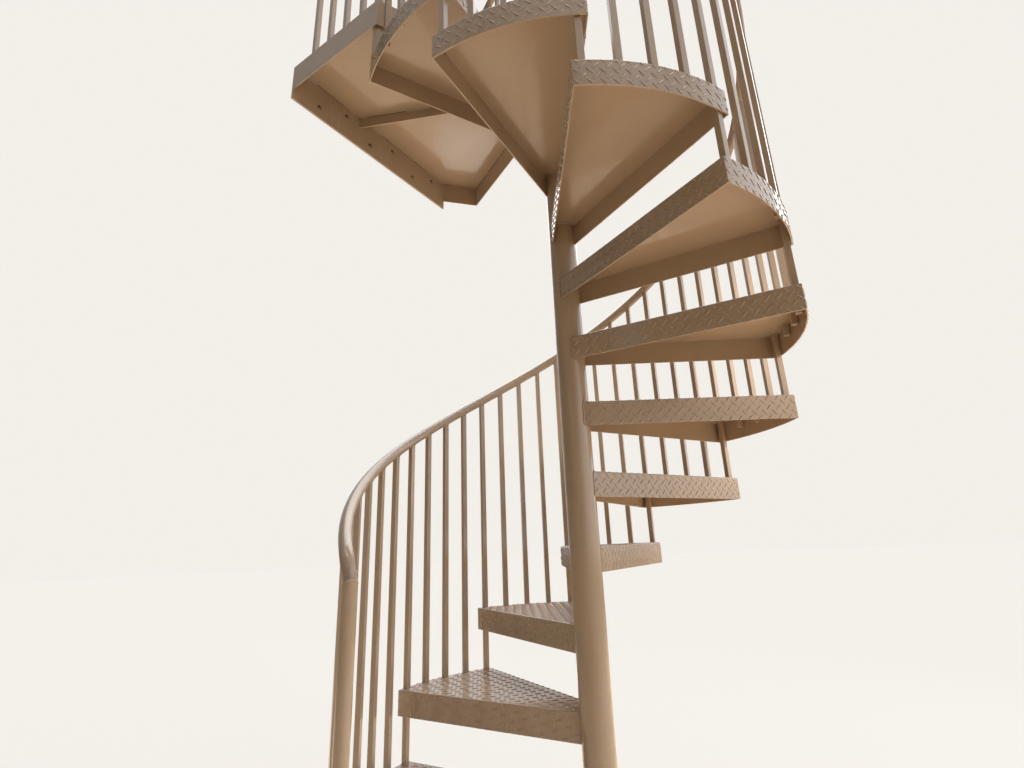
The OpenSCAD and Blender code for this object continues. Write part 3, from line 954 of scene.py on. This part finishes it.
bolts = bmesh.new()
spin = Matrix.Rotation(math.radians(first_az - tail_turn), 3, "Z")
for i, (x, y) in enumerate(((1, 1), (-1, 1), (-1, -1), (1, -1))):
    anchor(bolts, (x * anchor_at, y * anchor_at, base_t), (0, 0, 1), 0.024, 0.3 + i)
    local = spin @ Vector((x * foot_pitch / 2, y * foot_pitch / 2, 0))
    anchor(bolts, newel_foot + local, (0, 0, 1), 0.016, 0.8 + i)
flange_bolt = 0.031  # from the guard tube's axis
for x in (post.x, guard_wall.x):
    for z in (-1, 1):
        anchor(bolts, (x, wall_y - wall_flange_t, guard_z + z * flange_bolt), (0, -1, 0),
               0.012, 0.2 * z)
bmesh.ops.recalc_face_normals(bolts, faces=bolts.faces)
zinc_bolts = new_piece("anchor_bolts", bolts, [zinc])
zinc_bolts.data.set_sharp_from_angle(angle=math.radians(35))

# dark sleeves in the wall plate's holes, with a ring on each rim: painted shade, the dark of each
# hole round its painted bolt, mottled a little
hole_shade_finish, tree, metal = new_material("painted_hole_shade_on_sleeve")
place = add(tree, "TexCoord").outputs["Object"]
dark_mottle = add(tree, "TexNoise", {"Vector": place}, {"Scale": 600.0, "Detail": 3.0})
tint = add(tree, "Mix", {0: dark_mottle.outputs[0]}, {6: linear("#17100B"), 7: linear("#2B1D13")},
           data_type="RGBA")
tree.links.new(tint.outputs[2], metal.inputs["Base Color"])
metal.inputs["Roughness"].default_value = 0.85

wall_bolt_pitch = 0.136
wall_bolt_rows = (0.048, 0.107)  # below the deck's top
sleeve = [(0.0068, 0.0002), (0.0068, 0.0080), (0.0094, 0.0080), (0.0094, 0.0084),
          (0.0063, 0.0084), (0.0063, 0.0010)]
stud = [(0.0040, 0.0010), (0.0040, 0.0082), (0.0036, 0.0090), (0.0016, 0.0090), (0.0012, 0.0078)]
studs, sleeves = bmesh.new(), bmesh.new()
for i in range(6):
    x = wall_corner.x - 0.099 - i * wall_bolt_pitch
    z = deck_z - wall_bolt_rows[i % 2]
    turned(sleeves, sleeve, 28, (x, wall_y, z), (0, -1, 0))
    turned(studs, stud, 24, (x + 0.0017, wall_y, z - 0.0014), (0, -1, 0))
for shape, name, finish in (
    (studs, "wall_bolts", weld_enamel),
    (sleeves, "wall_sleeves", hole_shade_finish),
):
    bmesh.ops.recalc_face_normals(shape, faces=shape.faces)
    new_piece(name, shape, [finish])

# ---- Floor and light ------------------------------------------------------------------
# A plain pale floor and backdrop. Soft light comes mostly from overhead and from behind the
# stair, some from the open side at -Y, and least from the camera's side.


def lamp_object(name, kind, at, aim):
    """A lamp at one point aimed at another: its object and its data."""
    lamp = bpy.data.lights.new(name, kind)
    made = bpy.data.objects.new(name, lamp)
    made.location = at
    made.rotation_euler = (Vector(aim) - Vector(at)).to_track_quat("-Z", "Y").to_euler()
    scene.collection.objects.link(made)
    return made, lamp


def staged(name, corners, finish):
    """A flat stage piece with the given corners."""
    made = bpy.data.objects.new(name, bpy.data.meshes.new(name))
    made.data.from_pydata(corners, [], [range(len(corners))])
    made.data.materials.append(finish)
    scene.collection.objects.link(made)
    return made


# matt floor: to light bouncing off it, a painted pool of light, pale and warm near the stair and
# dark grey further out; to the camera it looks as pale as the backdrop with the stair's soft shadow
# on it
floor_paint, tree, paint = new_material("pale_floor")
tree.nodes.remove(paint)
place = add(tree, "TexCoord").outputs["Object"]
away = add(tree, "VectorMath", {0: place}, {1: [1.2, -0.5, 0.0]}, operation="DISTANCE")
near = add(tree, "MapRange", {0: away.outputs["Value"]}, {1: 2.2, 2: 7.0, 3: 1.0, 4: 0.0},
           interpolation_type="SMOOTHSTEP")
painted_light_pool = add(tree, "Mix", {0: near.outputs[0]}, {6: linear("#7A7260"), 7: linear("#FBE6CA")},
           data_type="RGBA")
slab = add(tree, "BsdfDiffuse", {"Color": painted_light_pool.outputs[2]})
shade = add(tree, "BsdfDiffuse", sockets={"Color": linear("#767270")})
wash = add(tree, "Emission", sockets={"Color": linear("#F4EFE5"), "Strength": 0.66})
seen = add(tree, "AddShader", {0: shade.outputs[0], 1: wash.outputs[0]})
ray = add(tree, "LightPath")
floor_mix = add(tree, "MixShader", {0: ray.outputs["Is Camera Ray"], 1: slab.outputs[0],
                                    2: seen.outputs[0]})
tree.links.new(floor_mix.outputs[0], tree.nodes["Material Output"].inputs["Surface"])
floor_r = 60.0
rim = [2 * math.pi * k / 64 for k in range(64)]
staged("floor", [(floor_r * math.cos(q), floor_r * math.sin(q), -0.0005) for q in rim], floor_paint)

# a spot from the open side on the stair's far right quarter
spot, lamp = lamp_object("far_quarter_spot", "SPOT", (-0.3, -3.6, 2.9), (0.78, 0.0, 1.75))
lamp.energy = 560
lamp.spot_size = math.radians(17)
lamp.spot_blend = 0.7
lamp.shadow_soft_size = 0.25
spot.visible_glossy = False

# tall strips, seen as upright streaks in the gloss of pipe and newel
for name, at, aim, wide, tall, watts in (
    ("right_edge_strip", (3.46, -2.0, 3.3), (0, 0, 2.0), 0.6, 3.6, 30),
    ("left_streak_strip", (-3.96, 0.56, 2.4), (0, 0, 1.6), 0.04, 3.4, 2.6),
):
    strip, lamp = lamp_object(name, "AREA", at, aim)
    lamp.shape = "RECTANGLE"
    lamp.size, lamp.size_y, lamp.energy = wide, tall, watts

# a lit card on the floor, seen only as a pale patch in the landing's gloss
card_cloth, tree, cloth = new_material("white_card")
tree.nodes.remove(cloth)
lit = add(tree, "Emission", sockets={"Color": linear("#FFFFFF"), "Strength": 2.9})
tree.links.new(lit.outputs[0], tree.nodes["Material Output"].inputs["Surface"])
card_edge = ((2.30, 2.51), (2.79, 2.24), (3.07, 2.37), (3.36, 2.91), (3.04, 3.22), (2.45, 3.00))
card = staged("landing_card", [(x, y, 0.002) for x, y in card_edge], card_cloth)
card.visible_camera = False
card.visible_diffuse = False
card.visible_shadow = False

# a dark flag over the camera's side, out of sight
flag_cloth, tree, cloth = new_material("flag_cloth")
cloth.inputs["Base Color"].default_value = linear("#8A7A6A")
cloth.inputs["Roughness"].default_value = 1.0
flag = staged("flag", [(-7, -4, 3.6), (-1.6, -4, 3.6), (-1.6, 1.5, 3.6), (-7, 1.5, 3.6)],
              flag_cloth)
flag.visible_camera = False

world = bpy.data.worlds.new("studio")
scene.world = world
world.use_nodes = True
tree = world.node_tree
sky = tree.nodes["Background"]
ahead = add(tree, "TexCoord").outputs["Generated"]
faint = [0.002, 0.012, 0.028]  # what comes from everywhere
glow = None
# soft lights: direction, the cosines at which each starts and is full, strength, hue
for toward, low, high, strength, hue in (
    ((0.05, 0.05, 1.0), 0.80, 0.99, 1.7, "#F6FBFF"),
    ((0.05, -0.12, 1.0), 0.95, 0.985, 5.6, "#F9FCFF"),
    ((0.63, 0.23, 0.74), 0.80, 0.98, 3.35, "#FCFDFF"),
    ((-0.30, -0.36, 0.88), 0.86, 0.98, 0.93, "#F8FBFF"),
    ((-0.56, 0.32, 0.77), 0.80, 0.98, 0.59, "#F8FBFF"),
    ((0.21, -0.84, 0.50), 0.62, 0.97, 0.60, "#CBE6FF"),
    ((0.73, -0.57, 0.37), 0.66, 0.97, 1.25, "#F1F8FF"),
    ((-0.14, -0.98, 0.10), 0.72, 0.97, 1.36, "#F2F9FF"),
    ((0.73, 0.61, 0.31), 0.66, 0.97, 0.78, "#FBFCFF"),
    ((0.17, 0.97, 0.17), 0.66, 0.97, 0.15, "#B8DFFF"),
):
    facing = add(tree, "VectorMath", {0: ahead}, {1: Vector(toward).normalized()},
                 operation="DOT_PRODUCT")
    level = add(tree, "MapRange", {0: facing.outputs["Value"]},
                {1: low, 2: high, 3: 0.0, 4: strength}, interpolation_type="SMOOTHSTEP")
    part = add(tree, "VectorMath", {"Scale": level.outputs[0]}, {0: linear(hue)[:3]},
               operation="SCALE")
    if glow is None:
        glow = add(tree, "VectorMath", {0: part.outputs[0]}, {1: faint}, operation="ADD")
    else:
        glow = add(tree, "VectorMath", {0: glow.outputs[0], 1: part.outputs[0]}, operation="ADD")
tree.links.new(glow.outputs[0], sky.inputs["Color"])
sky.inputs["Strength"].default_value = 1.0
seen = add(tree, "Background", sockets={"Color": linear("#F6F2EC"), "Strength": 0.97})
ray = add(tree, "LightPath")
both = add(tree, "MixShader", {0: ray.outputs["Is Camera Ray"], 1: sky.outputs[0],
                               2: seen.outputs[0]})
tree.links.new(both.outputs[0], tree.nodes["World Output"].inputs["Surface"])
